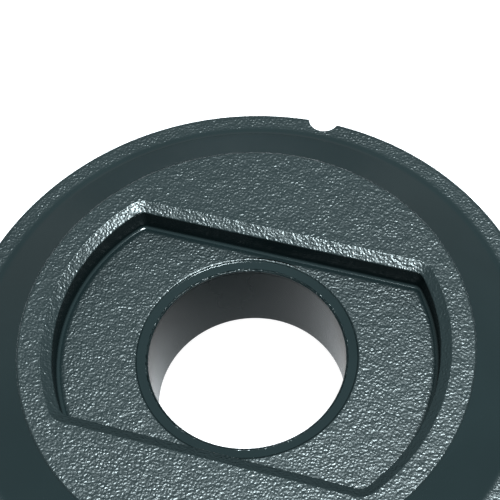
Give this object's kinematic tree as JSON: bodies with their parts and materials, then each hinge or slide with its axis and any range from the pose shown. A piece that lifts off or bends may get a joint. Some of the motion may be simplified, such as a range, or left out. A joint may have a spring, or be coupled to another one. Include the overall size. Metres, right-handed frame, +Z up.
{
  "type": "desk grommet",
  "caption": "Clamp-in round desk cable grommet: raised textured cover with double-D pocket and cable bore, threaded liner and ring nut.",
  "frame": {"origin": "on the cable bore's axis, at the lower end of the liner, on which the grommet stands when it is out of the desk", "axes": "+Z up along the bore, out of the desk's top face; +Y towards the notch in the cover's rim; the pocket's two flats lie along X"},
  "size_m": [0.09, 0.0899, 0.0473],
  "materials": {
    "grained_plastic": "moulded, spark-eroded grain on the flat faces, smooth on the slope and in the bore",
    "smooth_plastic": "moulded, satin",
    "gasket_foam": "closed-cell foam",
    "pad_rubber": "matt rubber",
    "zinc_plated_steel": "bright zinc plate",
    "spring_steel": "drawn wire, bright"
  },
  "bodies": {
    "liner_body": {"liner": "smooth_plastic", "flange_gasket": "gasket_foam"},
    "ring_body": {"snap_ring": "spring_steel"},
    "cover_body": {"cover": "grained_plastic"},
    "washer_body": {"clamp_washer": "zinc_plated_steel", "friction_pad": "pad_rubber"},
    "nut_body": {"clamp_nut": "smooth_plastic", "lock_screw_1": "spring_steel", "lock_screw_2": "spring_steel"}
  },
  "joints": [
    {"name": "cover_lift", "type": "slide", "parent": "liner_body", "child": "ring_body", "axis": [0, 0, 1], "range_m": [0, 0.03]},
    {"name": "cover_turn", "type": "hinge", "parent": "ring_body", "child": "cover_body", "pos_m": [0, 0, 0.0308], "axis": [0, 0, 1], "continuous": true},
    {"name": "washer_travel", "type": "slide", "parent": "liner_body", "child": "washer_body", "axis": [0, 0, 1], "range_m": [-0.002, 0.011]},
    {"name": "nut_turn", "type": "hinge", "parent": "washer_body", "child": "nut_body", "pos_m": [0, 0, 0.0062], "axis": [0, 0, 1], "range_deg": [-180, 990]}
  ],
  "couplings": [
    {"joint": "washer_travel", "follows": "nut_turn", "m_per_rad": 0.0006366}
  ]
}
